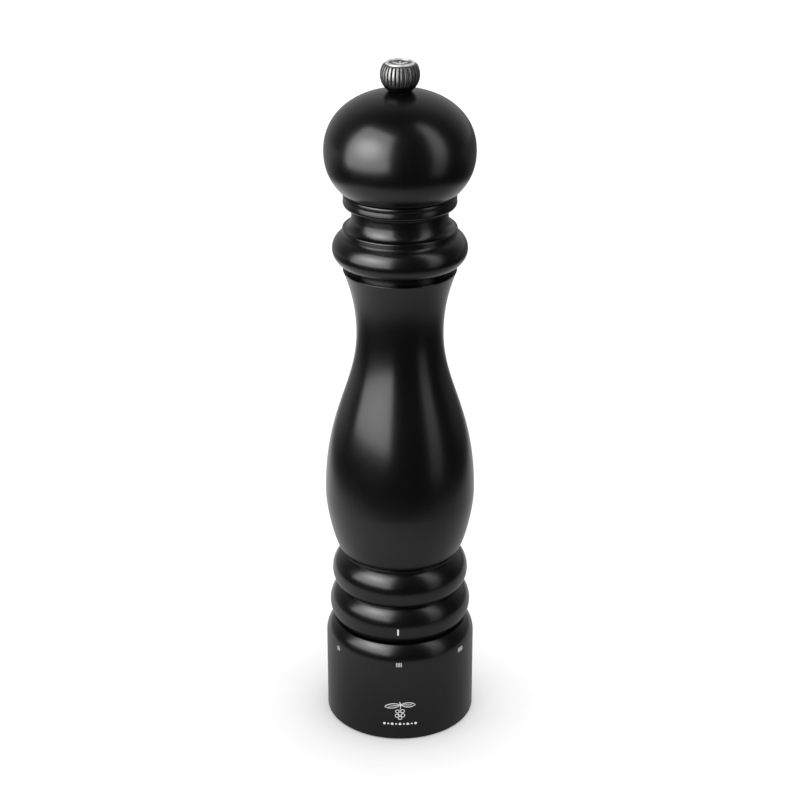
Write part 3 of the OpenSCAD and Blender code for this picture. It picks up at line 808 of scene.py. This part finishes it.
def math_node(tree, operation, a, b=None):
    node = tree.nodes.new("ShaderNodeMath")
    node.operation = operation
    for socket, value in zip(node.inputs, (a, b)):
        if isinstance(value, (int, float)):
            socket.default_value = value
        elif value is not None:
            tree.links.new(value, socket)
    return node.outputs[0]


def smooth(tree, value, start, end, low=0.0, high=1.0):
    """A smooth step of value from low at start to high at end."""
    node = tree.nodes.new("ShaderNodeMapRange")
    node.interpolation_type = "SMOOTHSTEP"
    for socket, number in zip(("From Min", "From Max", "To Min", "To Max"), (start, end, low, high)):
        node.inputs[socket].default_value = number
    tree.links.new(value, node.inputs["Value"])
    return node.outputs["Result"]


def emitter(name, strength_of):
    """An emission material whose strength is worked out from the place on the card. The floor's own
    soft light doesn't see it by way of the lacquer."""
    m = bpy.data.materials.new(name)
    m.use_nodes = True
    tree = m.node_tree
    tree.nodes.clear()
    out = tree.nodes.new("ShaderNodeOutputMaterial")
    glow = tree.nodes.new("ShaderNodeEmission")
    coords = tree.nodes.new("ShaderNodeTexCoord")
    xyz = tree.nodes.new("ShaderNodeSeparateXYZ")
    tree.links.new(coords.outputs["Object"], xyz.inputs[0])
    path = tree.nodes.new("ShaderNodeLightPath")
    direct = math_node(tree, "LESS_THAN", path.outputs["Diffuse Depth"], 0.5)
    strength = math_node(tree, "MULTIPLY", strength_of(tree, *xyz.outputs), direct)
    tree.links.new(strength, glow.inputs["Strength"])
    tree.links.new(glow.outputs[0], out.inputs["Surface"])
    return m


# Softbox of about 0.5 x 0.75 m in front of the mill to the left, its lamp glowing through below the middle
BOX_ANGLE = math.radians(50)
BOX_DISTANCE = 0.37
BOX_HALF_LOW, BOX_HALF_HIGH = 0.248, 0.275
BOX_LOW, BOX_HIGH = 0.152, 0.9
LAMP_Z, LAMP_SPREAD = 0.43, 0.24
LAMP_GLOW, CLOTH_GLOW = 11.0, 4.3
box_centre = (-BOX_DISTANCE * math.sin(BOX_ANGLE), -BOX_DISTANCE * math.cos(BOX_ANGLE))


def softbox_strength(tree, x, y, z):
    """Brightest round the lamp, less towards the edges."""
    offsets = [math_node(tree, "SUBTRACT", axis, centre)
               for axis, centre in ((x, box_centre[0]), (y, box_centre[1]), (z, LAMP_Z))]
    squares = [math_node(tree, "MULTIPLY", offset, offset) for offset in offsets]
    distance = math_node(tree, "SQRT", math_node(
        tree, "ADD", math_node(tree, "ADD", squares[0], squares[1]), squares[2]))
    return smooth(tree, distance, 0.0, LAMP_SPREAD, LAMP_GLOW, CLOTH_GLOW)


BOX_OUTLINE = ((-BOX_HALF_LOW, BOX_LOW), (BOX_HALF_LOW, BOX_LOW), (BOX_HALF_HIGH, BOX_HIGH),
               (-BOX_HALF_HIGH, BOX_HIGH))
box_corners = [(box_centre[0] + u * math.cos(BOX_ANGLE), box_centre[1] - u * math.sin(BOX_ANGLE), z)
               for u, z in BOX_OUTLINE]
stage_quad("softbox", box_corners, emitter("softbox_cloth", softbox_strength), True)

# Strip reflector to the right, leaning in over the mill: (angle, distance, height) of its corners
STRIP_CORNERS = ((47, 0.6, 0.0), (68, 0.6, 0.0), (87, 0.3, 1.09), (60, 0.3, 1.09))


def strip_strength(tree, _x, _y, z):
    rising = smooth(tree, z, 0.02, 0.55, 0.5, 2.2)
    return math_node(tree, "MULTIPLY", rising, smooth(tree, z, 0.8, 1.1, 1.0, 0.6))


strip_corners = [(d * math.sin(math.radians(a)), -d * math.cos(math.radians(a)), z)
                 for a, d, z in STRIP_CORNERS]
stage_quad("strip", strip_corners, emitter("strip_cloth", strip_strength), True)


# Pale sheet under the mill as the lacquer mirrors it: it ends in front and at the sides, is darker to the
# right, has a painted contact shadow of the mill close round the foot, and rises softly into the tent
# behind
def sheet_strength(tree, x, y, _z):
    back = math_node(tree, "MULTIPLY", math_node(tree, "MAXIMUM", y, 0.0), 0.45)
    front = math_node(tree, "MINIMUM", y, 0.0)
    span = math_node(tree, "ADD", back, math_node(tree, "MULTIPLY", front, 1.3))
    distance = math_node(tree, "SQRT", math_node(
        tree, "ADD", math_node(tree, "MULTIPLY", x, x), math_node(tree, "MULTIPLY", span, span)))
    inside = smooth(tree, distance, 0.36, 0.26)
    side = smooth(tree, x, -0.3, 0.3, 0.78, 0.36)
    depth = smooth(tree, y, -0.1, 0.3, 0.0, 0.3)
    level = math_node(tree, "ADD", side, depth)
    # Painted contact shadow: the sheet is dimmed to half close round the mill's foot
    painted_contact_shadow = smooth(tree, distance, 0.02, 0.14, 0.5, 1.0)
    level = math_node(tree, "MULTIPLY", level, painted_contact_shadow)
    behind = math_node(tree, "MULTIPLY", smooth(tree, y, 0.0, 0.7),
                       smooth(tree, x, -0.5, 0.5, 0.46, 0.16))
    beyond = math_node(tree, "MAXIMUM", behind, 0.02)
    return math_node(tree, "MAXIMUM", math_node(tree, "MULTIPLY", inside, level), beyond)


plane("mirrored_sheet", (0, 0, -0.0006), (6, 0, 0), (0, 6, 0),
      emitter("mirrored_sheet", sheet_strength), True)

floor_material = surface("pale_floor", (0.79, 0.79, 0.79), (0.81, 0.81, 0.81), (0.7, 0.8),
                         (40, 40, 40), bump_strength=0.0)
floor_material.node_tree.nodes["Principled BSDF"].inputs["Specular IOR Level"].default_value = 0.0
floor = plane("floor", (0, 0, -0.0002), (12, 0, 0), (0, 12, 0), floor_material, False)
floor.visible_glossy = False

# White tent: plain white behind everything, soft light on matt surfaces, and for mirrored rays
# a pale wall straight behind the mill that darkens to the sides, upwards and towards the camera
TENT_LIGHT = 1.5
WALL_DARK, WALL_LIGHT = 0.016, 0.5
world = bpy.data.worlds.new("tent")
bpy.context.scene.world = world
world.use_nodes = True
tent = world.node_tree
tent.nodes.clear()
tent_out = tent.nodes.new("ShaderNodeOutputWorld")
tent_glow = tent.nodes.new("ShaderNodeBackground")
tent_path = tent.nodes.new("ShaderNodeLightPath")
tent_coords = tent.nodes.new("ShaderNodeTexCoord")
tent_xyz = tent.nodes.new("ShaderNodeSeparateXYZ")
tent.links.new(tent_coords.outputs["Generated"], tent_xyz.inputs[0])
tent_glow.inputs["Color"].default_value = (1, 1, 1, 1)
wall = smooth(tent, tent_xyz.outputs[1], 0.1, 0.95, WALL_DARK, WALL_LIGHT)
direct_only = math_node(tent, "LESS_THAN", tent_path.outputs["Diffuse Depth"], 0.5)
wall = math_node(tent, "MULTIPLY", wall, direct_only)


def choose(flag, yes, no):
    """yes where flag is 1 and no where it is 0."""
    off = math_node(tent, "MULTIPLY", math_node(tent, "SUBTRACT", 1.0, flag), no)
    return math_node(tent, "ADD", math_node(tent, "MULTIPLY", flag, yes), off)


seen = choose(tent_path.outputs["Is Camera Ray"], 1.0, TENT_LIGHT)
tent.links.new(choose(tent_path.outputs["Is Glossy Ray"], wall, seen), tent_glow.inputs["Strength"])
tent.links.new(tent_glow.outputs[0], tent_out.inputs["Surface"])

bpy.context.scene.view_settings.view_transform = "Standard"
